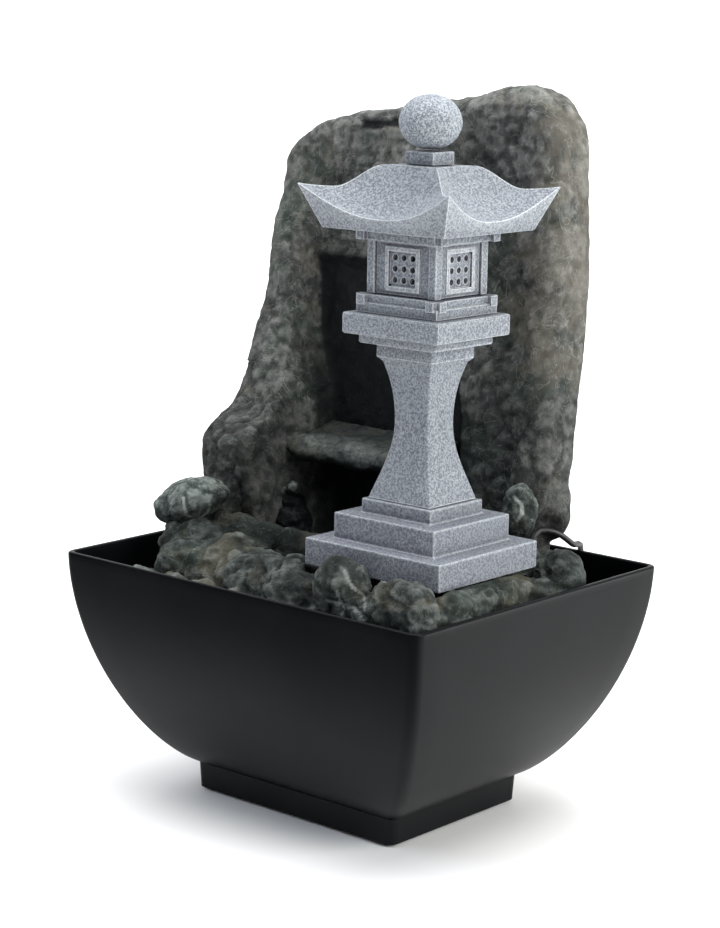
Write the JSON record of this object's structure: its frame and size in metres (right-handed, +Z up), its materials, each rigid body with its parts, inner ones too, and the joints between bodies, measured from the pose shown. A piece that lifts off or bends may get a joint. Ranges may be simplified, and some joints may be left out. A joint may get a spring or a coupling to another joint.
{
  "type": "tabletop water fountain",
  "caption": "Tabletop fountain: flared black basin on a plinth, cast rock wall with a cascade niche and pool, stone lantern with a light, and a submersible pump on a low-voltage cord.",
  "frame": {"origin": "middle of the basin's footprint on the table, at the underside of the foot pads", "axes": "+Z up, +X to the right along the long front rim, -Y towards the front where the lantern and pool face; the rock wall stands at +Y"},
  "size_m": [0.22, 0.1859, 0.3424],
  "materials": {
    "basin": "satin black",
    "pad_rubber": "matte",
    "rock": "cast resin rock, dark green-grey with dry-brushed edges",
    "stone": "cast resin stone, grey-green with pale veins",
    "granite": "cast resin, finely speckled light grey granite",
    "pump_plastic": "matte black",
    "gate_plastic": "matte red",
    "white_plastic": "matte white",
    "ceramic_pin": "polished",
    "magnet": "sintered ferrite, dark grey",
    "lens": "clear warm lens",
    "hose": "clear soft tube",
    "cup_rubber": "translucent",
    "cable": "satin black",
    "tie_plastic": "matte",
    "plug_steel": "nickel-plated steel"
  },
  "bodies": {
    "basin": {"basin_bowl": "basin", "basin_foot": "basin", "foot_pad_1": "pad_rubber", "foot_pad_2": "pad_rubber", "foot_pad_3": "pad_rubber", "foot_pad_4": "pad_rubber", "pump_body": "pump_plastic", "impeller_shaft": "ceramic_pin", "suction_cup_1": "cup_rubber", "suction_cup_2": "cup_rubber", "suction_cup_3": "cup_rubber", "suction_cup_4": "cup_rubber", "lead_gland": "cable", "led_coupler_socket": "cable", "supply_cord": "cable", "supply_cord_coil": "cable", "supply_cord_tail": "cable", "coil_tie": "tie_plastic", "plug_boot": "cable", "plug_body": "cable", "plug_shell": "plug_steel", "plug_tongue": "white_plastic"},
    "impeller": {"impeller_magnet": "magnet", "impeller_vanes": "white_plastic"},
    "intake_cover": {"intake_cover": "pump_plastic"},
    "flow_gate": {"flow_gate": "gate_plastic"},
    "rockwork": {"rock_wall": "rock", "cascade_ledge": "rock", "rock_bed": "rock", "side_boulder": "stone", "leaning_stone": "stone", "riser_hose": "hose", "spout": "pump_plastic", "lantern_base": "granite", "lantern_pillar": "granite", "lantern_plate": "granite", "lantern_sill": "granite", "lantern_beams": "granite", "lantern_post_1": "granite", "lantern_post_2": "granite", "lantern_post_3": "granite", "lantern_post_4": "granite", "lantern_window_front": "granite", "lantern_window_right": "granite", "lantern_window_back": "granite", "lantern_window_left": "granite", "lantern_roof": "granite", "lantern_cap": "granite", "lantern_finial": "granite", "led_base": "white_plastic", "led_lens": "lens", "led_lead": "cable", "led_coupler_plug": "cable"}
  },
  "joints": [
    {"name": "rockwork_lift", "type": "slide", "parent": "basin", "child": "rockwork", "axis": [0, 0, 1], "range_m": [0, 0.11]},
    {"name": "impeller_spin", "type": "hinge", "parent": "basin", "child": "impeller", "pos_m": [-0.02, 0.012, 0.0379], "axis": [0, 1, 0], "continuous": true},
    {"name": "cover_pull", "type": "slide", "parent": "basin", "child": "intake_cover", "axis": [0, -1, 0], "range_m": [0, 0.014]},
    {"name": "gate_slide", "type": "slide", "parent": "intake_cover", "child": "flow_gate", "axis": [0, 0, 1], "range_m": [0, 0.006]}
  ]
}
